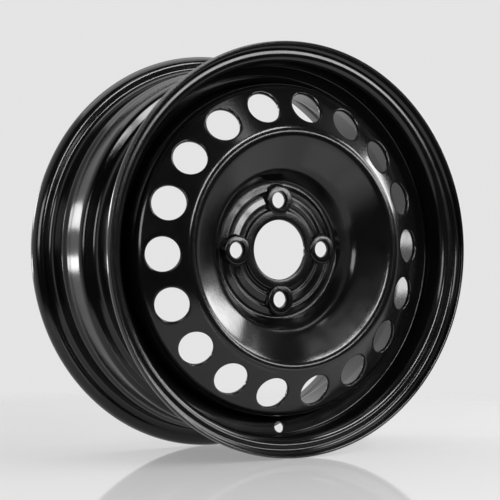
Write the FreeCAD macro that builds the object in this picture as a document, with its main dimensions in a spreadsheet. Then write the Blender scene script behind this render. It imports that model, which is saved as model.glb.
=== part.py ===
import FreeCAD, Part
import math
import os
import re

import Sketcher
from FreeCAD import Vector

# A 6J x 15 steel car wheel: a rolled rim, a pressed disc and the weld beads that join them.
# The wheel spins about Y. The street side faces -Y, and Y = 0 is the rim's middle plane.

# Driving sizes, in millimetres and degrees.
SIZES = [
    ("rim_width", 152.4, "between the flanges, on the tyre side"),
    ("rim_wall", 2.6, "strip the rim is rolled from"),
    ("bead_seat_diameter", 380.2, "at the flange"),
    ("bead_seat_length", 20.0, "along the axis"),
    ("bead_seat_angle", 5.0, "taper of the bead seat"),
    ("bead_corner_share", 0.8333, "bead corner's rounding, as a share of the flange below its curl"),
    ("flange_height", 17.3, "above the bead seat"),
    ("flange_curl_radius", 9.5, "rolled top of the flange"),
    ("flange_lip_angle", 25.0, "fall of the lip past its top"),
    ("flange_lip_length", 0.5, "straight end of the lip"),
    ("hump_rise", 2.2, "hump's corner above the bead seat's end"),
    ("hump_length", 10.0, "along the axis"),
    ("hump_radius", 5.0, "rounding of the hump"),
    ("ledge_drop", 3.1, "ledge below the bead seat"),
    ("well_depth", 18.6, "well below the bead seat"),
    ("well_wall_angle", 15.0, "well wall from the wheel's plane"),
    ("well_rear_edge", 14.3, "top of the well's rear wall, behind the middle plane"),
    ("well_radius", 7.0, "rounding at the well's floor"),
    ("valve_hole_diameter", 11.3, "for a snap-in valve"),
    ("valve_angle", -88.8, "about the axis, from +X towards +Z"),
    ("wheel_offset", 49.0, "hub face in front of the middle plane"),
    ("disc_wall", 4.0, "sheet the disc is pressed from"),
    ("hub_bore_diameter", 60.1, "centre bore"),
    ("collar_rise", 5.1, "collar round the bore above the hub land"),
    ("collar_width", 9.95, "its flat top"),
    ("collar_step", 3.1, "height of its foot"),
    ("collar_flat", 3.8, "flat from its foot to the inner rib"),
    ("rib_inner_flank", 2.3, "radial run of a rib's steep inner flank"),
    ("inner_rib_rise", 3.6, "crest of the inner stiffening rib above the hub land"),
    ("inner_rib_outer_flank", 6.0, "radial run of its outer flank"),
    ("rib_gap", 3.7, "flat between the ribs"),
    ("rib_gap_rise", 1.0, "that flat above the hub land"),
    ("outer_rib_rise", 2.4, "crest of the outer stiffening rib above the hub land"),
    ("outer_rib_outer_flank", 5.1, "radial run of its outer flank"),
    ("rib_radius", 1.4, "rounding of the ribs"),
    ("land_width", 4.4, "flat ring that meets the hub, to its sharp corner"),
    ("land_rounding", 3.0, "hub land to the bowl's foot"),
    ("foot_wall_angle", 57.0, "steep foot of the bowl from the wheel's plane"),
    ("bowl_wall_angle", 30.5, "rest of the bowl from the wheel's plane"),
    ("bowl_rounding", 20.0, "bend between the two"),
    ("crown_share", 0.4918, "crown's place from the hub's edge, 0, to the skirt, 1"),
    ("crown_rise", 42.8, "crown's sharp corner in front of the hub face"),
    ("crown_rounding", 12.5, "its rounding"),
    ("vent_cone_angle", 28.0, "vent cone from the wheel's plane"),
    ("skirt_taper", 2.35, "skirt's corner inside its seat in the well"),
    ("shoulder_rounding", 9.0, "its rounding"),
    ("skirt_seat_length", 22.0, "stretch of the skirt that sits in the well"),
    ("skirt_end", 13.7, "skirt's edge in front of the middle plane"),
    ("seat_clearance", 0.05, "between the skirt or a bead and the well"),
    ("vent_count", 18, "vent holes"),
    ("vent_diameter", 34.0, "pierced square to the cone"),
    ("vent_share", 0.5477, "vents' place from the crown, 0, to the skirt, 1"),
    ("vent_phase", 1.2, "turn of the vents against the bolt holes"),
    ("bolt_count", 4, "bolt holes"),
    ("bolt_circle_diameter", 100.0, "pitch circle"),
    ("bolt_hole_diameter", 15.8, "through hole"),
    ("bolt_seat_half_angle", 30.0, "conical seat, half of its opening"),
    ("bolt_seat_depth", 2.0, "along the axis"),
    ("boss_rise", 6.6, "top of a bolt boss above the hub land"),
    ("boss_top_radius", 14.0, "flat top of a bolt boss"),
    ("boss_draft", 22.0, "slope of its side from the axis"),
    ("boss_wall", 5.6, "top of a boss to the hollow behind it"),
    ("boss_recess_radius", 12.0, "that hollow"),
    ("weld_count", 8, "weld beads"),
    ("weld_arc", 26.0, "turn that one bead covers"),
    ("weld_leg", 4.5, "bead along the well"),
    ("weld_throat", 3.4, "bead across the skirt's edge"),
    ("weld_rounding", 1.6, "bead's convex corner"),
]

# Lengths that follow from the sizes, as formulas of them.
FORMULAS = {
    "flange_face": "rim_width / 2",
    "bead_radius": "bead_seat_diameter / 2",
    "flange_top": "bead_radius + flange_height",
    "lip_corner": "flange_top - flange_curl_radius * (1 - cos(flange_lip_angle)"
                  " - (1 + sin(flange_lip_angle)) * tan(flange_lip_angle))",
    "bead_corner_radius": "bead_corner_share * (flange_height - flange_curl_radius)",
    "flange_width": "flange_curl_radius * (1 + sin(flange_lip_angle))"
                    " + flange_lip_length * cos(flange_lip_angle)",
    "lip_plane": "flange_face + flange_width",
    "lip_end": "lip_corner - flange_width * tan(flange_lip_angle)",
    "seat_end": "flange_face - bead_seat_length",
    "seat_end_radius": "bead_radius - bead_seat_length * tan(bead_seat_angle)",
    "hump_crest": "seat_end - hump_length / 2",
    "hump_end": "seat_end - hump_length",
    "ledge_radius": "bead_radius - ledge_drop",
    "well_floor": "bead_radius - well_depth",
    "front_foot": "hump_end - (seat_end_radius - well_floor) * tan(well_wall_angle)",
    "rear_foot": "well_rear_edge - (ledge_radius - well_floor) * tan(well_wall_angle)",
    "well_inside": "well_floor - rim_wall",
    "skirt_outside": "well_inside - seat_clearance",
    "bore_radius": "hub_bore_diameter / 2",
    "land": "wheel_offset + disc_wall",
    "collar_radius": "bore_radius + collar_width",
    "collar_foot": "collar_radius + 0.62 * collar_step",
    "collar_floor": "land + collar_rise - collar_step",
    "inner_rib_foot": "collar_foot + collar_flat",
    "inner_rib_radius": "inner_rib_foot + rib_inner_flank",
    "inner_rib_end": "inner_rib_radius + inner_rib_outer_flank",
    "outer_rib_foot": "inner_rib_end + rib_gap",
    "outer_rib_radius": "outer_rib_foot + rib_inner_flank",
    "outer_rib_end": "outer_rib_radius + outer_rib_outer_flank",
    "hub_edge": "outer_rib_end + land_width",
    "skirt_radius": "skirt_outside - skirt_taper",
    "crown_radius": "hub_edge + crown_share * (skirt_radius - hub_edge)",
    "crown": "wheel_offset + crown_rise",
    "bend_radius": "(crown - land + hub_edge * tan(foot_wall_angle) - crown_radius * tan(bowl_wall_angle))"
                   " / (tan(foot_wall_angle) - tan(bowl_wall_angle))",
    "bend": "land + (bend_radius - hub_edge) * tan(foot_wall_angle)",
    "cone_fall": "tan(vent_cone_angle)",
    "shoulder": "crown - (skirt_radius - crown_radius) * cone_fall",
    "seat_start": "skirt_end + skirt_seat_length",
    "vent_circle_radius": "crown_radius + vent_share * (skirt_radius - crown_radius)",
    "vent_plane": "crown - (vent_circle_radius - crown_radius) * cone_fall",
    "bolt_radius": "bolt_circle_diameter / 2",
    "boss_top": "land + boss_rise",
    "boss_side": "(boss_rise + disc_wall / 2) * tan(boss_draft)",
}

NODES = ("rim", "disc", "weld_beads")

doc = FreeCAD.newDocument("steel_wheel")
sheet = doc.addObject("Spreadsheet::Sheet", "Sizes")
for row, (alias, number, meaning) in enumerate(SIZES, start=1):
    sheet.set(f"A{row}", alias)
    sheet.set(f"B{row}", str(number))
    sheet.set(f"C{row}", meaning)
    sheet.setAlias(f"B{row}", alias)
doc.recompute()
ALIASES = {alias for alias, number, meaning in SIZES}
ANGLES = {alias for alias in ALIASES if alias.endswith(("_angle", "_phase", "_draft", "_arc"))}


def formula(text):
    """The text with each size written as a cell of the sheet and each formula written out."""
    def spell(match):
        word = match.group(0)
        if word in FORMULAS:
            return "(" + formula(FORMULAS[word]) + ")"
        if word in ANGLES:
            return f"(Sizes.{word} * 1 deg)"
        return f"Sizes.{word}" if word in ALIASES else word
    return re.sub(r"[a-z][a-z_]*", spell, text)


def value(text):
    """A formula's number now."""
    found = sheet.evalExpression(formula(text))
    return float(getattr(found, "Value", found))


def bind(thing, name, text):
    thing.setExpression(name, formula(text))


def make(kind, name, **links):
    thing = doc.addObject(kind, name)
    for key, link in links.items():
        setattr(thing, key, link)
    return thing


def turned(angle, radius, along, tilt):
    """Placement of a tool whose axis starts along Z: tilted, set at a radius and a Y, turned about Y."""
    return (f"create(<<placement>>; create(<<vector>>; 0; 0; 0);"
            f" create(<<rotation>>; create(<<vector>>; 0; 1; 0); -({angle})))"
            f" * create(<<placement>>; create(<<vector>>; {radius}; {along}; 0);"
            f" create(<<rotation>>; create(<<vector>>; 0; 0; 1); {tilt})"
            f" * create(<<rotation>>; create(<<vector>>; 1; 0; 0); 90))")


def section(name, corners, closed=False):
    """A sketch in the XY plane, radius along X, of straight runs joined by tangent arcs.
    A corner is (radius, along the axis, rounding), all formulas. The rounding None leaves it sharp."""
    sketch = make("Sketcher::SketchObject", name)
    points = [Vector(value(x), value(y), 0) for x, y, rounding in corners]
    count = len(points)
    rounded = [closed or 0 < i < count - 1 for i in range(count)]
    rounded = [ok and corners[i][2] is not None for i, ok in enumerate(rounded)]
    cut = []
    for i in range(count):
        before = (points[i - 1] - points[i]).normalize()
        after = (points[(i + 1) % count] - points[i]).normalize()
        if not rounded[i]:
            cut.append((points[i], points[i], None, None))
            continue
        radius = value(corners[i][2])
        half = before.getAngle(after) / 2
        reach = radius / math.tan(half)
        centre = points[i] + (before + after).normalize() * (radius / math.sin(half))
        cut.append((points[i] + before * reach, points[i] + after * reach, centre, radius))
    spans = count if closed else count - 1
    lines = [sketch.addGeometry(Part.LineSegment(cut[i][1], cut[(i + 1) % count][0])) for i in range(spans)]
    for i in range(count):
        mark = sketch.addGeometry(Part.Point(points[i]), True)
        for axis, text, number in (("X", corners[i][0], points[i].x), ("Y", corners[i][1], points[i].y)):
            sketch.addConstraint(Sketcher.Constraint(f"Distance{axis}", -1, 1, mark, 1, number))
            sketch.setExpression(f"Constraints[{sketch.ConstraintCount - 1}]", formula(text))
        line_in = lines[i - 1] if closed or i > 0 else None
        line_out = lines[i] if i < spans else None
        if not rounded[i]:
            if line_in is not None:
                sketch.addConstraint(Sketcher.Constraint("Coincident", line_in, 2, mark, 1))
            if line_out is not None:
                sketch.addConstraint(Sketcher.Constraint("Coincident", line_out, 1, mark, 1))
            continue
        start, end, centre, radius = cut[i]
        first, last = start - centre, end - centre
        left_turn = first.cross(last).z > 0
        a, b = (first, last) if left_turn else (last, first)
        arc = sketch.addGeometry(Part.ArcOfCircle(
            Part.Circle(centre, Vector(0, 0, 1), radius), math.atan2(a.y, a.x), math.atan2(b.y, b.x)))
        sketch.addConstraint(Sketcher.Constraint("PointOnObject", mark, 1, line_in))
        sketch.addConstraint(Sketcher.Constraint("PointOnObject", mark, 1, line_out))
        sketch.addConstraint(Sketcher.Constraint("Tangent", line_in, 2, arc, 1 if left_turn else 2))
        sketch.addConstraint(Sketcher.Constraint("Tangent", line_out, 1, arc, 2 if left_turn else 1))
        sketch.addConstraint(Sketcher.Constraint("Radius", arc, radius))
        sketch.setExpression(f"Constraints[{sketch.ConstraintCount - 1}]", formula(corners[i][2]))
    return sketch


def spun_sheet(name, sketch, wall):
    """A sheet of even thickness: the sketched face thickened by a wall and spun about the axis."""
    strip = make("Part::Offset2D", name + "_strip", Source=sketch, Mode="Skin", Fill=True)
    bind(strip, "Value", wall)
    return make("Part::Revolution", name, Source=strip, Axis=Vector(0, 1, 0), Angle=360, Solid=True)


def drill(name, radius, length, place):
    """A round punch, its length centred on its place."""
    punch = make("Part::Cylinder", name)
    bind(punch, "Radius", radius)
    bind(punch, "Height", length)
    punch.setExpression("Placement", formula(place) + f" * create(<<placement>>;"
                        f" create(<<vector>>; 0; 0; -({formula(length)}) / 2);"
                        f" create(<<rotation>>; create(<<vector>>; 0; 0; 1); 0))")
    return punch


def taper(name, low_radius, high_radius, height, place):
    """A cone that stands on its place."""
    cone = make("Part::Cone", name)
    bind(cone, "Radius1", low_radius)
    bind(cone, "Radius2", high_radius)
    bind(cone, "Height", height)
    cone.setExpression("Placement", formula(place))
    return cone


def rim():
    def side(sign):
        """The outer parts of the rim's tyre side, from the lip to the hump's crest."""
        return [
            ("lip_end", f"{sign}lip_plane", None),
            ("lip_corner", f"{sign}flange_face", "flange_curl_radius"),
            ("bead_radius", f"{sign}flange_face", "bead_corner_radius"),
            ("seat_end_radius", f"{sign}seat_end", "hump_radius"),
            ("seat_end_radius + hump_rise", f"{sign}hump_crest", "hump_radius"),
        ]
    well = [
        ("seat_end_radius", "-hump_end", "hump_radius"),
        ("well_floor", "-front_foot", "well_radius"),
        ("well_floor", "rear_foot", "well_radius"),
        ("ledge_radius", "well_rear_edge", "well_radius"),
        ("ledge_radius", "hump_end", "hump_radius"),
    ]
    sketch = section("rim_section", side("-") + well + side("")[::-1])
    rolled = spun_sheet("rolled_strip", sketch, "-rim_wall")
    middle = "(seat_end_radius + well_floor) / 2"
    hole = drill("valve_punch", "valve_hole_diameter / 2", "6 * rim_wall",
                 turned("valve_angle", middle, "-(hump_end + front_foot) / 2", "-well_wall_angle"))
    return make("Part::Cut", "rim", Base=rolled, Tool=hole)


def disc():
    profile = [
        ("bore_radius - disc_wall / 2", "-(land + collar_rise)", None),
        ("collar_radius", "-(land + collar_rise)", "rib_radius"),
        ("collar_foot", "-collar_floor", "rib_radius"),
        ("inner_rib_foot", "-collar_floor", "rib_radius"),
        ("inner_rib_radius", "-(land + inner_rib_rise)", "rib_radius"),
        ("inner_rib_end", "-(land + rib_gap_rise)", "rib_radius"),
        ("outer_rib_foot", "-(land + rib_gap_rise)", "rib_radius"),
        ("outer_rib_radius", "-(land + outer_rib_rise)", "rib_radius"),
        ("outer_rib_end", "-land", "rib_radius"),
        ("hub_edge", "-land", "land_rounding"),
        ("bend_radius", "-bend", "bowl_rounding"),
        ("crown_radius", "-crown", "crown_rounding"),
        ("skirt_radius", "-shoulder", "shoulder_rounding"),
        ("skirt_outside", "-seat_start", "shoulder_rounding"),
        ("skirt_outside", "-skirt_end", None),
    ]
    pressing = spun_sheet("pressing", section("disc_section", profile), "-disc_wall")
    bosses = []
    cuts = [drill("bore_punch", "bore_radius", "8 * disc_wall", turned("0 deg", "0", "-land", "0"))]
    for i in range(int(value("bolt_count"))):
        angle = f"360 deg / bolt_count * {i}"
        at_land = turned(angle, "bolt_radius", "-(land - disc_wall / 2)", "0")
        bosses.append(taper(f"bolt_boss_{i + 1}", "boss_top_radius + boss_side", "boss_top_radius",
                            "boss_rise + disc_wall / 2", at_land))
        behind = turned(angle, "bolt_radius", "-(boss_top - boss_wall)", "180")
        cuts.append(taper(f"boss_recess_{i + 1}", "boss_recess_radius", "boss_recess_radius + boss_side",
                          "boss_rise + disc_wall / 2", behind))
        cuts.append(drill(f"bolt_punch_{i + 1}", "bolt_hole_diameter / 2", "8 * disc_wall",
                          turned(angle, "bolt_radius", "-land", "0")))
        seat = turned(angle, "bolt_radius", "-(boss_top - bolt_seat_depth)", "0")
        cuts.append(taper(f"bolt_seat_{i + 1}", "bolt_hole_diameter / 2",
                          "bolt_hole_diameter / 2 + 2 * bolt_seat_depth * tan(bolt_seat_half_angle)",
                          "2 * bolt_seat_depth", seat))
    for i in range(int(value("vent_count"))):
        cuts.append(drill(f"vent_punch_{i + 1}", "vent_diameter / 2", "6 * disc_wall",
                          turned(f"vent_phase + 360 deg / vent_count * {i}",
                                 "vent_circle_radius", "-vent_plane", "vent_cone_angle")))
    body = make("Part::MultiFuse", "pressing_with_bosses", Shapes=[pressing] + bosses)
    punches = make("Part::Compound", "disc_punches", Links=cuts)
    return make("Part::Cut", "disc", Base=body, Tool=punches)


def weld_beads():
    corners = [
        ("skirt_outside", "-skirt_end", None),
        ("skirt_outside - weld_throat", "-skirt_end", None),
        ("skirt_outside - weld_throat * 0.7", "-skirt_end + weld_leg * 0.6", "weld_rounding"),
        ("skirt_outside", "-skirt_end + weld_leg", None),
    ]
    beads = []
    for i in range(int(value("weld_count"))):
        sketch = section(f"bead_section_{i + 1}", corners, closed=True)
        sketch.setExpression("Placement", formula(
            "create(<<placement>>; create(<<vector>>; 0; 0; 0); create(<<rotation>>;"
            f" create(<<vector>>; 0; 1; 0); 360 deg / weld_count * {i}))"))
        bead = make("Part::Revolution", f"bead_{i + 1}", Source=sketch, Axis=Vector(0, 1, 0), Solid=True)
        bind(bead, "Angle", "weld_arc")
        beads.append(bead)
    return make("Part::Compound", "weld_beads", Links=beads)


def main():
    made = {node: build() for node, build in zip(NODES, (rim, disc, weld_beads))}
    doc.recompute()
    for thing in doc.Objects:
        if "Invalid" in thing.State or "Error" in thing.State:
            raise RuntimeError(f"{thing.Name} failed: {thing.State}")
    os.makedirs("parts", exist_ok=True)
    for node, thing in made.items():
        thing.Label = node
        shape = thing.Shape
        if shape.isNull() or not shape.isValid():
            raise RuntimeError(f"{node} has no valid shape")
        shape.exportStep(f"parts/{node}.step")
        print(node, len(shape.Solids), "solids", round(shape.Volume / 1000, 1), "cm3", shape.BoundBox)


main()
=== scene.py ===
import math

import bmesh
import bpy
import numpy as np
from mathutils import Matrix, Quaternion, Vector


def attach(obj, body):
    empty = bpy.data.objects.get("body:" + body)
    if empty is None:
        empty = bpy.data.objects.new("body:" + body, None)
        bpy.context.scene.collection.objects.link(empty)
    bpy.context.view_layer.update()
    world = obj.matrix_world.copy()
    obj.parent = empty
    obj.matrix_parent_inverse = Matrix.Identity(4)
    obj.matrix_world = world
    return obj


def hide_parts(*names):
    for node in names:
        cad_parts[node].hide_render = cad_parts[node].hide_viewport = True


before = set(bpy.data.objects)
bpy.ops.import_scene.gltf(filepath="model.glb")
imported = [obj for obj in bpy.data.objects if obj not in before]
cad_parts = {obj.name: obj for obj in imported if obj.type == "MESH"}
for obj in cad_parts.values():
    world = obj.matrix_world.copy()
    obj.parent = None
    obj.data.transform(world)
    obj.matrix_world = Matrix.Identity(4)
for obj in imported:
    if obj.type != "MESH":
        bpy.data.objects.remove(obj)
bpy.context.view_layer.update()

# Lengths are in millimetres, as in the part's source, up to where a mesh is built.
MM = 0.001
VENTS, BOLTS = 18, 4
# The vents are turned by this against the bolt holes, the first of which lies on +X.
VENT_PHASE = math.radians(1.2)


# Tools for lines, meshes and cuts.
def rounded(corners, turn, run):
    """Points of a line with rounded corners, each given as (radius, along the axis, rounding).

    An arc has a point about every turn degrees, a straight about every run millimetres.
    """
    points = [np.array(c[:2], float) for c in corners]
    line = [points[0]]

    def straight(end):
        start = line[-1]
        n = max(1, int(np.linalg.norm(end - start) / run + 0.5))
        line.extend(start + (end - start) * (i + 1) / n for i in range(n))

    for i in range(1, len(points) - 1):
        a = points[i - 1] - points[i]
        b = points[i + 1] - points[i]
        a, b = a / np.linalg.norm(a), b / np.linalg.norm(b)
        half = math.acos(max(-1.0, min(1.0, float(a @ b)))) / 2
        reach = corners[i][2] / math.tan(half)
        middle = (a + b) / np.linalg.norm(a + b)
        centre = points[i] + middle * corners[i][2] / math.sin(half)
        start, end = points[i] + a * reach - centre, points[i] + b * reach - centre
        straight(points[i] + a * reach)
        sweep = math.atan2(start[0] * end[1] - start[1] * end[0], float(start @ end))
        n = max(2, int(abs(math.degrees(sweep)) / turn + 0.5))
        for k in range(1, n + 1):
            t = sweep * k / n
            turned = np.array([start[0] * math.cos(t) - start[1] * math.sin(t),
                               start[0] * math.sin(t) + start[1] * math.cos(t)])
            line.append(centre + turned)
    straight(points[-1])
    return np.array(line)


def normals(line):
    """Unit normals to the right of the way along the line."""
    d = np.gradient(line, axis=0)
    d /= np.linalg.norm(d, axis=1)[:, None]
    return np.stack([d[:, 1], -d[:, 0]], axis=1)


class Sheet:
    """Collects points and faces of one mesh."""

    def __init__(self):
        self.points, self.faces = [], []

    def add(self, points):
        start = len(self.points)
        self.points.extend(points)
        return start

    def grid(self, rows):
        """Faces over closed rows of points of equal length."""
        starts = [self.add(row) for row in rows]
        for a, b in zip(starts, starts[1:]):
            self.join(a, b, len(rows[0]))
        return starts

    def join(self, a, b, n):
        """Faces between two closed rows of n points that start at a and b."""
        for k in range(n):
            m = (k + 1) % n
            self.faces.append((a + k, a + m, b + m, b + k))

    def close(self, start, n):
        """One face over a closed row."""
        self.faces.append(tuple(start + k for k in range(n)))

    def build(self, name, weld=1e-5):
        mesh = bpy.data.meshes.new(name)
        mesh.from_pydata([tuple(np.asarray(p) * MM) for p in self.points], [], self.faces)
        bm = bmesh.new()
        bm.from_mesh(mesh)
        bmesh.ops.remove_doubles(bm, verts=bm.verts, dist=weld)
        bmesh.ops.recalc_face_normals(bm, faces=bm.faces)
        bm.to_mesh(mesh)
        bm.free()
        thing = bpy.data.objects.new(name, mesh)
        bpy.context.scene.collection.objects.link(thing)
        return thing


def ring(r, y, segments):
    """Points round the axis, from the first vent's middle."""
    a = VENT_PHASE + np.arange(segments) * 2 * math.pi / segments
    return np.stack([r * np.cos(a), np.full(segments, y), r * np.sin(a)], axis=1)


def punch(name, sections, place, segments=48):
    """A turned cutter: (radius, height) sections about its own Z, set by a matrix."""
    sheet = Sheet()
    a = np.arange(segments) * 2 * math.pi / segments
    starts = sheet.grid([np.stack([r * np.cos(a), r * np.sin(a), np.full(segments, h)], axis=1)
                         for r, h in sections])
    sheet.close(starts[0], segments)
    sheet.close(starts[-1], segments)
    sheet.points = [np.array(place @ Vector(p)) for p in sheet.points]
    return sheet.build(name)


def cut(thing, cutter, how="DIFFERENCE"):
    """Takes the cutter away from the thing, or joins it on, for good."""
    modifier = thing.modifiers.new("cut", "BOOLEAN")
    modifier.operation = how
    modifier.solver = "EXACT"
    modifier.object = cutter
    bpy.context.view_layer.update()
    made = bpy.data.meshes.new_from_object(thing.evaluated_get(bpy.context.evaluated_depsgraph_get()))
    thing.modifiers.clear()
    thing.data = made
    bpy.data.objects.remove(cutter)


def smooth(thing, angle=42.0):
    thing.data.shade_smooth()
    thing.data.set_sharp_from_angle(angle=math.radians(angle))


# The rim: one strip rolled to a drop-centre section.
HALF_WIDTH, BEAD_R, TOP_R, RIM_WALL = 76.2, 190.1, 207.4, 2.6
CURL, LIP_ANGLE, LIP_RUN = 9.5, math.radians(25), 0.5
LIP = CURL * (1 + math.sin(LIP_ANGLE)) + LIP_RUN * math.cos(LIP_ANGLE)
LIP_CORNER_R = TOP_R - CURL * (1 - math.cos(LIP_ANGLE) - (1 + math.sin(LIP_ANGLE)) * math.tan(LIP_ANGLE))
BEAD_SEAT, SEAT_TAPER, HUMP, HUMP_RISE = 20.0, math.radians(5), 10.0, 2.2
SEAT_END_R = BEAD_R - BEAD_SEAT * math.tan(SEAT_TAPER)
HUMP_END = HALF_WIDTH - BEAD_SEAT - HUMP
FLOOR_R, LEDGE_R, REAR_EDGE = 171.5, 187.0, 14.3
WALL_LEAN = math.radians(15)
FRONT_FOOT = HUMP_END - (SEAT_END_R - FLOOR_R) * math.tan(WALL_LEAN)
REAR_FOOT = REAR_EDGE - (LEDGE_R - FLOOR_R) * math.tan(WALL_LEAN)
FLANGE_ROUND, SEAT_ROUND, WELL_ROUND, STRIP_EDGE = 6.5, 5.0, 7.0, 0.9
VALVE_TURN, VALVE_R, VALVE_REACH = math.radians(-88.8), 5.65, 9.0
RIM_SEGMENTS = 288


def flange(side):
    """Corners from a lip to its hump, at the street side (-1) or the car's side (1)."""
    return [
        (LIP_CORNER_R - LIP * math.tan(LIP_ANGLE), side * (HALF_WIDTH + LIP), 0),
        (LIP_CORNER_R, side * HALF_WIDTH, CURL),
        (BEAD_R, side * HALF_WIDTH, FLANGE_ROUND),
        (SEAT_END_R, side * (HALF_WIDTH - BEAD_SEAT), SEAT_ROUND),
        (SEAT_END_R + HUMP_RISE, side * (HALF_WIDTH - BEAD_SEAT - HUMP / 2), SEAT_ROUND),
    ]


def strip_end(outer, inside, towards):
    """The rounded end of the strip, from its outer face to its inner face."""
    along = towards / np.linalg.norm(towards)
    across = (inside - outer) / RIM_WALL
    quarter = np.radians([0, 22.5, 45, 67.5, 90])
    first = [outer + across * STRIP_EDGE * (1 - math.cos(t)) - along * STRIP_EDGE * (1 - math.sin(t))
             for t in quarter]
    second = [inside - across * STRIP_EDGE * (1 - math.sin(t)) - along * STRIP_EDGE * (1 - math.cos(t))
              for t in quarter]
    return first + second


def rim_section():
    """The strip's closed section: the tyre side, its offset by the wall, and rounded ends."""
    well = [
        (SEAT_END_R, -HUMP_END, SEAT_ROUND),
        (FLOOR_R, -FRONT_FOOT, WELL_ROUND),
        (FLOOR_R, REAR_FOOT, WELL_ROUND),
        (LEDGE_R, REAR_EDGE, WELL_ROUND),
        (LEDGE_R, HUMP_END, SEAT_ROUND),
    ]
    outer = rounded(flange(-1) + well + flange(1)[::-1], turn=8.0, run=5.0)
    inner = outer - normals(outer) * RIM_WALL
    if inner[:, 0].mean() > outer[:, 0].mean():
        inner = outer + normals(outer) * RIM_WALL
    last = strip_end(outer[-1], inner[-1], outer[-1] - outer[-2])
    first = strip_end(outer[0], inner[0], outer[0] - outer[1])
    return list(outer[1:-1]) + last + list(inner[::-1][1:-1]) + first[::-1]


def make_rim():
    sheet = Sheet()
    starts = sheet.grid([ring(r, y, RIM_SEGMENTS) for r, y in rim_section()])
    sheet.join(starts[-1], starts[0], RIM_SEGMENTS)
    made = sheet.build("rolled_rim")
    middle = ((SEAT_END_R + FLOOR_R) / 2, -(HUMP_END + FRONT_FOOT) / 2, 0)
    place = (Matrix.Rotation(-VALVE_TURN, 4, "Y") @ Matrix.Translation(middle)
             @ Matrix.Rotation(-WALL_LEAN, 4, "Z") @ Matrix.Rotation(math.radians(90), 4, "X"))
    cut(made, punch("valve_cutter", [(VALVE_R, -VALVE_REACH), (VALVE_R, VALVE_REACH)], place))
    smooth(made)
    return made


rim = make_rim()

# The disc: pressed from one sheet, its front line going from the bore to the skirt's edge.
DISC_WALL, LAND = 4.0, 53.0
BORE_R, BORE_ROUND, BORE_BREAK = 30.05, 0.9, 0.5
COLLAR_R, COLLAR_FOOT_R, COLLAR_RISE = 40.0, 41.92, 5.1
HUB_ROUND, FOOT_ROUND, BOWL_ROUND, CROWN_ROUND, SKIRT_ROUND = 1.4, 3.0, 20.0, 12.5, 9.0
# The hub's gutter, two ribs and land, outwards from the collar's foot: width and height above the land.
HUB_STEPS = [(0.0, 2.0), (3.8, 2.0), (2.3, 3.6), (6.0, 1.0), (3.7, 1.0), (2.3, 2.4), (5.1, 0.0)]
LAND_WIDTH = 4.4
EDGE_R = COLLAR_FOOT_R + sum(width for width, rise in HUB_STEPS) + LAND_WIDTH
CROWN_Y, SKIRT_R, SKIRT_OUT, SKIRT_END, SKIRT_LENGTH = -91.8, 166.5, 168.85, -13.7, 22.0
CROWN_SHARE, VENT_SHARE = 0.4918, 0.5477
CROWN_R = EDGE_R + CROWN_SHARE * (SKIRT_R - EDGE_R)
CONE = math.radians(28)
FOOT_SLOPE, BOWL_SLOPE = math.tan(math.radians(57)), math.tan(math.radians(30.5))
BEND_R = (-CROWN_Y - LAND + EDGE_R * FOOT_SLOPE - CROWN_R * BOWL_SLOPE) / (FOOT_SLOPE - BOWL_SLOPE)
VENT_R, VENT_C = 17.0, CROWN_R + VENT_SHARE * (SKIRT_R - CROWN_R)
VENT_FRONT_ROUND, VENT_REAR_ROUND = 1.3, 0.6
# Each vent has a cell of the cone to itself, with a fixed number of points along each side.
CELL_IN, CELL_OUT, CELL_POINTS, CELL_RINGS = 125.4, 161.2, 20, 4
# Rings of the profile that come closer than this to the cells' edge are left out.
FRONT_SEAM, SEAM = 0.4, 0.3
DISC_SEGMENTS = VENTS * CELL_POINTS
# Inside this radius the rear face lies straight behind the front; the skirt lies behind this height.
HUB_REACH, SKIRT_SIDE = 67.0, -40.0


def cone_y(r):
    """Height of the vent cone's front face at a radius."""
    return CROWN_Y + (r - CROWN_R) * math.tan(CONE)


def cone_rear(r):
    """The rear face's point behind the vent cone's front at a radius."""
    return r - math.sin(CONE) * DISC_WALL, cone_y(r) + math.cos(CONE) * DISC_WALL


def disc_profile():
    """Points of the front line, and unit normals that point to the street."""
    corners = [(BORE_R, -LAND - COLLAR_RISE, 0), (COLLAR_R, -LAND - COLLAR_RISE, HUB_ROUND)]
    r = COLLAR_FOOT_R
    for width, rise in HUB_STEPS:
        r += width
        corners.append((r, -LAND - rise, HUB_ROUND))
    line = rounded(corners + [
        (EDGE_R, -LAND, FOOT_ROUND),
        (BEND_R, -LAND - (BEND_R - EDGE_R) * FOOT_SLOPE, BOWL_ROUND),
        (CROWN_R, CROWN_Y, CROWN_ROUND),
        (SKIRT_R, cone_y(SKIRT_R), SKIRT_ROUND),
        (SKIRT_OUT, SKIRT_END - SKIRT_LENGTH, SKIRT_ROUND),
        (SKIRT_OUT, SKIRT_END, 0),
    ], turn=7.0, run=4.0)
    out = normals(line)
    if out[len(out) // 2, 1] > 0:
        out = -out
    return list(zip(line, out))


def behind(p, n):
    """The rear face behind a front point: along the axis over the hub, square to the sheet elsewhere."""
    if p[0] < HUB_REACH and p[1] < SKIRT_SIDE:
        return p[0], p[1] + DISC_WALL
    return p[0] - n[0] * DISC_WALL, p[1] - n[1] * DISC_WALL


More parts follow.
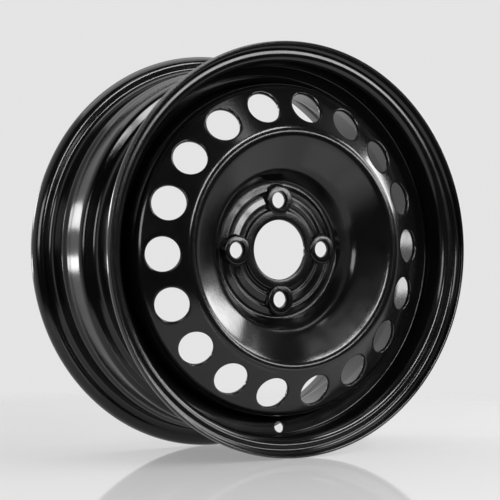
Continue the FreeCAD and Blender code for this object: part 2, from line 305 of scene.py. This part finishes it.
def hub_and_bowl(sheet, profile):
    """One strip of rings from behind, through the bore, to the front."""
    inner = [(p, n) for p, n in profile if p[0] < CELL_IN - FRONT_SEAM and p[1] < SKIRT_SIDE]
    past_bore = [(p, n) for p, n in inner if p[0] > BORE_R + BORE_ROUND]
    front = [tuple(p) for p, n in past_bore] + [(CELL_IN, cone_y(CELL_IN))]
    rear_end = cone_rear(CELL_IN)
    rear = [p for p in (behind(p, n) for p, n in past_bore) if p[0] < rear_end[0] - SEAM] + [rear_end]
    top = -LAND - COLLAR_RISE
    lead = [(BORE_R + BORE_ROUND * (1 - math.sin(t)), top + BORE_ROUND * (1 - math.cos(t)))
            for t in np.radians([90, 67.5, 45, 22.5, 0])]
    bore = [(BORE_R + BORE_BREAK, top + DISC_WALL), (BORE_R, top + DISC_WALL - BORE_BREAK)] + lead
    sheet.grid([ring(r, y, DISC_SEGMENTS) for r, y in rear[::-1] + bore + front])


def cone_point(slant, width, depth, turn):
    """A point on the cone, by slant and width from a vent's centre and by depth below the front face."""
    x = VENT_C + slant * math.cos(CONE)
    r, a = math.hypot(x, width), math.atan2(width, x) + turn
    y = cone_y(r) + math.cos(CONE) * depth
    r -= math.sin(CONE) * depth
    return r * math.cos(a), y, r * math.sin(a)


def cell_edge():
    """Points round a cell's edge as (slant, width)."""
    half = math.pi / VENTS
    step = [k / CELL_POINTS for k in range(CELL_POINTS)]
    depth = CELL_OUT - CELL_IN
    points = [(CELL_OUT, half * (2 * s - 1)) for s in step]
    points += [(CELL_OUT - depth * s, half) for s in step]
    points += [(CELL_IN, half * (1 - 2 * s)) for s in step]
    points += [(CELL_IN + depth * s, -half) for s in step]
    return [((r * math.cos(t) - VENT_C) / math.cos(CONE), r * math.sin(t)) for r, t in points]


def vent_face(edge, depth, corner, turn):
    """Rows from a cell's edge in to the rounding of its vent, on the front or the rear face."""
    rows = []
    for k in range(CELL_RINGS + 1):
        share = k / CELL_RINGS
        row = []
        for slant, width in edge:
            t = math.atan2(width, slant)
            to_slant = math.cos(t) * (VENT_R + corner) - slant
            to_width = math.sin(t) * (VENT_R + corner) - width
            row.append(cone_point(slant + to_slant * share, width + to_width * share, depth, turn))
        rows.append(np.array(row))
    return rows


def vent_lip(edge, depth, corner, turn, bends):
    """Rows over the rounding of a vent's edge."""
    rows = []
    angles = [math.atan2(width, slant) for slant, width in edge]
    for bend in np.radians(bends):
        r = VENT_R + corner * (1 - math.sin(bend))
        below = abs(depth - corner * (1 - math.cos(bend)))
        rows.append(np.array([cone_point(math.cos(t) * r, math.sin(t) * r, below, turn) for t in angles]))
    return rows


def vents(sheet):
    """The vent cone: round vents with a rounded edge in front and a sharper one behind."""
    edge = cell_edge()
    for i in range(VENTS):
        turn = VENT_PHASE + i * 2 * math.pi / VENTS
        sheet.grid(vent_face(edge, 0.0, VENT_FRONT_ROUND, turn)
                   + vent_lip(edge, 0.0, VENT_FRONT_ROUND, turn, [22.5, 45, 67.5, 90])
                   + vent_lip(edge, DISC_WALL, VENT_REAR_ROUND, turn, [90, 45])
                   + vent_face(edge, DISC_WALL, VENT_REAR_ROUND, turn)[::-1])


def shoulder_and_skirt(sheet, profile):
    """The rest of the sheet, from the vent cone round the skirt's edge and back."""
    tail = [(p, n) for p, n in profile if p[1] > cone_y(CELL_OUT) + SEAM and p[0] > CELL_OUT + SEAM]
    outer = [(CELL_OUT, cone_y(CELL_OUT))] + [tuple(p) for p, n in tail]
    under = [cone_rear(CELL_OUT)] + [behind(p, n) for p, n in tail]
    sheet.grid([ring(r, y, DISC_SEGMENTS) for r, y in outer + under[::-1]])


# Bolt bosses, hollow behind, with conical seats. Heights are from the boss's top, towards the street.
BOLT_CIRCLE_R, BOSS_RISE, BOSS_SINKS, BOSS_SEGMENTS = 50.0, 6.6, (8.6, 5.0, 2.0), 72
BOSS_R, HOLLOW_R, HOLLOW_TOP, HOLLOW_DEPTH = 14.0, 12.0, -5.6, 9.0
BOLT_R, SEAT_DEPTH, ABOVE, BELOW = 7.9, 2.0, 3.0, -14.0
DRAFT, SEAT_SLOPE = math.tan(math.radians(22)), math.tan(math.radians(30))
BOSS_EDGE = [(14.45, -1.1), (14.1, -0.45), (13.6, -0.1), (12.9, 0.0)]
boss = [(BOSS_R + sink * DRAFT, -sink) for sink in BOSS_SINKS] + BOSS_EDGE
hollow = [(HOLLOW_R + HOLLOW_DEPTH * DRAFT, HOLLOW_TOP - HOLLOW_DEPTH), (HOLLOW_R, HOLLOW_TOP)]
hole = [(BOLT_R, BELOW), (BOLT_R, -SEAT_DEPTH), (BOLT_R + SEAT_DEPTH * SEAT_SLOPE, 0),
        (BOLT_R + (SEAT_DEPTH + ABOVE) * SEAT_SLOPE, ABOVE)]


def round_bolts(name, sections):
    """One cutter for all the bolts."""
    made = []
    for i in range(BOLTS):
        place = (Matrix.Rotation(-i * 2 * math.pi / BOLTS, 4, "Y")
                 @ Matrix.Translation((BOLT_CIRCLE_R, -LAND - BOSS_RISE, 0))
                 @ Matrix.Rotation(math.radians(90), 4, "X"))
        made.append(punch(name, sections, place, BOSS_SEGMENTS))
    with bpy.context.temp_override(active_object=made[0], selected_editable_objects=made):
        bpy.ops.object.join()
    return made[0]


def make_disc():
    sheet = Sheet()
    profile = disc_profile()
    hub_and_bowl(sheet, profile)
    vents(sheet)
    shoulder_and_skirt(sheet, profile)
    made = sheet.build("pressed_disc", weld=2e-5)
    cut(made, round_bolts("bosses", boss), "UNION")
    cut(made, round_bolts("hollows", hollow))
    cut(made, round_bolts("bolt_holes", hole))
    smooth(made)
    return made


disc = make_disc()

# Weld beads along the skirt's edge, rippled and thinning out at their ends.
BEADS, BEAD_ARC, BEAD_STEPS = 8, 26.0, 70
BEAD_SECTION = [(0, 0), (-3.3, 0), (-3.0, 1.3), (-2.2, 2.6), (-1.1, 3.7), (0, 4.4)]
BEAD_OFF_RIM, BEAD_OFF_SKIRT = 0.02, 0.01
THINNING, THIN_END, RIPPLE, RIPPLE_TURN = 14, 0.02, 0.07, 1.9


def bead_size(i, k):
    """The size of a bead at a step, as a share of its full section."""
    u = k / BEAD_STEPS
    full = min(1.0, math.sqrt(max(0.0, min(u, 1 - u)) * THINNING + THIN_END))
    return full * (1 - RIPPLE * (1 + math.sin(k * RIPPLE_TURN + i)) / 2)


def make_beads():
    sheet = Sheet()
    for i in range(BEADS):
        rows = []
        for k in range(BEAD_STEPS + 1):
            size = bead_size(i, k)
            a = -math.radians(i * 360 / BEADS + BEAD_ARC * k / BEAD_STEPS)
            section = [(SKIRT_OUT - BEAD_OFF_RIM + dr * size, SKIRT_END + BEAD_OFF_SKIRT + dy * size)
                       for dr, dy in BEAD_SECTION]
            rows.append(np.array([(r * math.cos(a), y, r * math.sin(a)) for r, y in section]))
        starts = sheet.grid(rows)
        sheet.close(starts[0], len(BEAD_SECTION))
        sheet.close(starts[-1], len(BEAD_SECTION))
    made = sheet.build("weld_seams", weld=1e-7)
    smooth(made, angle=60.0)
    return made


beads = make_beads()


# Tools for node trees. An input is given a constant, or the output of another node.
def fill(tree, node, values):
    for key, value in values.items():
        if isinstance(value, bpy.types.NodeSocket):
            tree.links.new(value, node.inputs[key])
        else:
            node.inputs[key].default_value = value
    return node.outputs


def add(tree, kind, values):
    return fill(tree, tree.nodes.new("ShaderNode" + kind), values)


def maths(tree, operation, *values):
    node = tree.nodes.new("ShaderNodeMath")
    node.operation = operation
    return fill(tree, node, dict(enumerate(values)))[0]


def vector_maths(tree, operation, *values):
    node = tree.nodes.new("ShaderNodeVectorMath")
    node.operation = operation
    return fill(tree, node, dict(enumerate(values)))


def stretch(tree, value, old, new, easing="LINEAR"):
    """Maps one range of values to another."""
    node = tree.nodes.new("ShaderNodeMapRange")
    node.interpolation_type = easing
    ends = {"From Min": old[0], "From Max": old[1], "To Min": new[0], "To Max": new[1]}
    return fill(tree, node, {"Value": value, **ends})["Result"]


def mix_colours(tree, factor, first, second):
    node = tree.nodes.new("ShaderNodeMix")
    node.data_type = "RGBA"
    return fill(tree, node, {"Factor": factor, "A": first, "B": second})["Result"]


def blend(tree, factor, first, second):
    """Mixes two shaders."""
    return add(tree, "MixShader", {0: factor, 1: first, 2: second})[0]


def noise(tree, coords, scale, detail, rough):
    values = {"Vector": coords, "Scale": scale, "Detail": detail, "Roughness": rough}
    return add(tree, "TexNoise", values)["Fac"]


def grey(value):
    return (value, value, value, 1)


def new_material(name):
    material = bpy.data.materials.new(name)
    material.use_nodes = True
    material.node_tree.nodes.clear()
    return material, material.node_tree


# The black dip coat. From here on lengths are in metres, and a noise's scale is in features per metre.
# A noise is scale, detail and roughness; most of its values lie in the middle range.
DEPTH_NOISE, GLOSS_NOISE, NOISE_MIDDLE = (22.0, 4.0, 0.5), (60.0, 5.0, 0.6), (0.25, 0.75)
PEEL_NOISE, SAND_NOISE, ROLLING_NOISE = (420.0, 2.0, 0.5), (1500.0, 2.0, 0.5), (260.0, 1.0, 0.5)
COAT_RELIEF, SAND_SHARE = 0.0002, 0.35
SEAM_Z, SEAM_WIDTH = -0.0042, 0.0014


def rolling_lines(tree, coords):
    """Uneven height that is the same all the way round the axis."""
    flat = vector_maths(tree, "MULTIPLY", coords, (1, 0, 1))[0]
    reach = vector_maths(tree, "LENGTH", flat)["Value"]
    along = add(tree, "SeparateXYZ", {0: coords})["Y"]
    return noise(tree, add(tree, "CombineXYZ", {"X": reach, "Y": along})[0], *ROLLING_NOISE)


def butt_weld(tree, coords):
    """1 in the fine seam straight across the strip on the +X side, 0 elsewhere."""
    split = add(tree, "SeparateXYZ", {0: coords})
    right = maths(tree, "GREATER_THAN", split["X"], 0.0)
    return maths(tree, "MULTIPLY", right, maths(tree, "COMPARE", split["Z"], SEAM_Z, SEAM_WIDTH / 2))


def coat(name, dark, light, rough, grain, rolled=0.0, seam=0.0):
    """A coat a little uneven in depth and gloss, with orange peel, rolling lines and a seam.

    Rough is the range of its roughness and grain the strength of its relief; rolled and seam are
    the heights of the lines and the depth of the seam, with the orange peel's as 1.
    """
    material, tree = new_material(name)
    coords = add(tree, "TexCoord", {})["Object"]
    depth = stretch(tree, noise(tree, coords, *DEPTH_NOISE), NOISE_MIDDLE, (0, 1))
    peel = noise(tree, coords, *PEEL_NOISE)
    height = maths(tree, "MULTIPLY_ADD", noise(tree, coords, *SAND_NOISE), SAND_SHARE, peel)
    height = maths(tree, "MULTIPLY_ADD", rolling_lines(tree, coords), rolled, height)
    height = maths(tree, "MULTIPLY_ADD", butt_weld(tree, coords), -seam, height)
    shader = add(tree, "BsdfPrincipled", {
        "Base Color": mix_colours(tree, depth, (*dark, 1), (*light, 1)),
        "Roughness": stretch(tree, noise(tree, coords, *GLOSS_NOISE), NOISE_MIDDLE, rough),
        "Normal": add(tree, "Bump", {"Strength": grain, "Distance": COAT_RELIEF, "Height": height})[0],
    })
    add(tree, "OutputMaterial", {"Surface": shader[0]})
    return material


BLACK, SOFT_BLACK = (0.0025, 0.0025, 0.0028), (0.005, 0.005, 0.0055)
WELD_BLACK, WELD_SOFT_BLACK = (0.005, 0.005, 0.005), (0.010, 0.010, 0.010)
rim_coat = coat("rim_coat_black", BLACK, SOFT_BLACK, (0.11, 0.17), 0.05, rolled=3.0, seam=30.0)
disc_coat = coat("disc_coat_black", BLACK, SOFT_BLACK, (0.12, 0.18), 0.16)
weld_coat = coat("weld_coat_black", WELD_BLACK, WELD_SOFT_BLACK, (0.3, 0.5), 0.6)
rim.data.materials.append(rim_coat)
disc.data.materials.append(disc_coat)
beads.data.materials.append(weld_coat)

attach(rim, "root")
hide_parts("rim")
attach(disc, "root")
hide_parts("disc")
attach(beads, "root")
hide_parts("weld_beads")

# A pale floor that gives back a soft picture of the wheel.
FLOOR_SIZE, FLOOR_TONE, BACKDROP_TONE, BACKDROP_SHARE = 14, 0.64, 0.77, 0.55
POLISH_AT, POLISH_REACH, POLISH = (-0.09, -0.24, 0), (0.26, 0.46), 0.62
POLISH_TONE, POLISH_ROUGH, POLISH_IOR = 0.97, 0.045, 1.45
FADE_AT, FADE_SIZE, FADE_REACH = (0.06, 0.14, 0), (0.58, 0.72, 1), (0.80, 1.20)


def floor_material():
    material, tree = new_material("studio_floor")
    coords = add(tree, "TexCoord", {})["Object"]
    # Part of its tone is the backdrop's own, so that the wheel's shadow stays light.
    path = add(tree, "LightPath", {})
    mirrored = maths(tree, "ADD", path["Is Glossy Ray"], path["Is Transmission Ray"])
    seen = maths(tree, "ADD", path["Is Camera Ray"], mirrored)
    matt = add(tree, "BsdfDiffuse", {"Color": grey(FLOOR_TONE)})[0]
    even = add(tree, "Emission", {"Color": grey(BACKDROP_TONE)})[0]
    base = blend(tree, maths(tree, "MULTIPLY", seen, BACKDROP_SHARE), matt, even)
    # It is polished in front of the wheel and matt away from it.
    off = vector_maths(tree, "DISTANCE", coords, POLISH_AT)["Value"]
    polish = stretch(tree, off, POLISH_REACH, (POLISH, 0.0), "SMOOTHSTEP")
    share = maths(tree, "MULTIPLY", add(tree, "Fresnel", {"IOR": POLISH_IOR})[0], polish)
    gloss = add(tree, "BsdfGlossy", {"Color": grey(POLISH_TONE), "Roughness": POLISH_ROUGH})[0]
    surface = blend(tree, share, base, gloss)
    # It fades out far from the wheel, so no horizon shows.
    middle = tree.nodes.new("ShaderNodeMapping")
    middle.vector_type = "TEXTURE"
    fill(tree, middle, {"Vector": coords, "Location": FADE_AT, "Scale": FADE_SIZE})
    far = vector_maths(tree, "LENGTH", middle.outputs[0])["Value"]
    fade = stretch(tree, far, FADE_REACH, (0, 1), "SMOOTHSTEP")
    clear = add(tree, "BsdfTransparent", {})[0]
    add(tree, "OutputMaterial", {"Surface": blend(tree, fade, surface, clear)})
    return material


bpy.ops.mesh.primitive_plane_add(size=FLOOR_SIZE, location=(0, 0, -TOP_R * MM))
floor = bpy.context.object
floor.name = "studio_floor"
floor.data.materials.append(floor_material())

# The studio: pale behind the wheel, dark behind the camera. A direction's Y says how far behind it lies.
ROOM_DARK, ROOM_PALE, ROOM_TURN = 0.012, 0.78, (-0.40, 0.50)


def studio():
    world = bpy.data.worlds.new("studio")
    world.use_nodes = True
    tree = world.node_tree
    tree.nodes.clear()
    way = add(tree, "SeparateXYZ", {0: add(tree, "TexCoord", {})["Generated"]})
    rear = stretch(tree, way["Y"], ROOM_TURN, (0, 1))
    dark = add(tree, "Background", {"Color": grey(ROOM_DARK)})[0]
    pale = add(tree, "Background", {"Color": grey(ROOM_PALE)})[0]
    # Seen straight on, the backdrop is pale from every side. Mirrored, it is pale behind the wheel only.
    path = add(tree, "LightPath", {})
    mirrored = maths(tree, "ADD", path["Is Glossy Ray"], path["Is Transmission Ray"])
    seen = maths(tree, "MAXIMUM", path["Is Camera Ray"], maths(tree, "MULTIPLY", mirrored, rear))
    add(tree, "OutputWorld", {"Surface": blend(tree, seen, blend(tree, rear, dark, pale), pale)})
    return world


bpy.context.scene.world = studio()


# Lamps, set in the directions that the photograph's highlights are mirrored from.
def direction(azimuth, height):
    """The way from the wheel at an azimuth, right of straight in front, and a height, in degrees."""
    turn, rise = math.radians(azimuth), math.radians(height)
    return Vector((math.sin(turn) * math.cos(rise), -math.cos(turn) * math.cos(rise), math.sin(rise)))


def softbox(name, azimuth, height, away, size, bright, roll=0.0):
    """A lamp in a direction as seen from the wheel, facing it, with the brightness of its face."""
    data = bpy.data.lights.new(name, "AREA")
    data.shape = "RECTANGLE"
    data.size, data.size_y = size
    data.energy = bright * math.pi * size[0] * size[1]
    lamp = bpy.data.objects.new(name, data)
    lamp.location = direction(azimuth, height) * away
    lamp.rotation_mode = "QUATERNION"
    facing = (-lamp.location).to_track_quat("-Z", "Y")
    lamp.rotation_quaternion = facing @ Quaternion((0, 0, 1), math.radians(roll))
    bpy.context.scene.collection.objects.link(lamp)


softbox("overhead", 164, 79.7, 2.03, (2.4, 2.0), 1.6)
softbox("front_middle", 35, 8.0, 1.9, (0.86, 0.17), 11.0)
softbox("front_high", 17, 36.5, 1.9, (0.92, 0.24), 17.0, roll=13)
softbox("front_left", -7, 19.5, 1.9, (0.20, 0.80), 17.0, roll=-20)
softbox("front_right", 60, 20, 1.7, (0.38, 0.60), 9.0)
softbox("spot", 9, 50, 1.6, (0.20, 0.20), 3.0)
softbox("right", 84, 17.5, 2.0, (0.55, 0.56), 13.0)
softbox("rear_left_high", 205, 11, 2.07, (1.15, 0.26), 7.0)
softbox("rear_left_low", 211, -3.4, 2.04, (0.70, 0.16), 9.0)
softbox("left_panel", -50, 11, 2.2, (0.8, 0.7), 5.5)

# The photograph's camera, from a fit to the wheel's circles, set from a point on the axis near the front lip.
CAMERA_AZIMUTH, CAMERA_HEIGHT, CAMERA_ROLL = -30.701, -0.528, 0.786
CAMERA_AWAY, CAMERA_RIGHT, CAMERA_UP, NEAR_LIP_Y = 1.911901, -0.044201, -0.000465, -0.0857
LENS, SENSOR, CLIP = 138.515, 36.0, (0.05, 50)


def photo_camera():
    away = direction(CAMERA_AZIMUTH, CAMERA_HEIGHT)
    right = Vector((0, 0, 1)).cross(away).normalized()
    up = away.cross(right)
    eye = away * CAMERA_AWAY + right * CAMERA_RIGHT + up * CAMERA_UP + Vector((0, NEAR_LIP_Y, 0))
    spin = Matrix.Rotation(math.radians(CAMERA_ROLL), 3, "Y")
    turned = Matrix([spin @ v for v in (right, up, away)]).transposed().to_4x4()
    camera = bpy.data.objects.new("camera", bpy.data.cameras.new("camera"))
    camera.data.sensor_width = SENSOR
    camera.data.lens = LENS
    camera.data.clip_start, camera.data.clip_end = CLIP
    camera.matrix_world = Matrix.Translation(spin @ eye) @ turned
    bpy.context.scene.collection.objects.link(camera)
    return camera


bpy.context.scene.camera = photo_camera()
bpy.context.scene.view_settings.view_transform = "Standard"
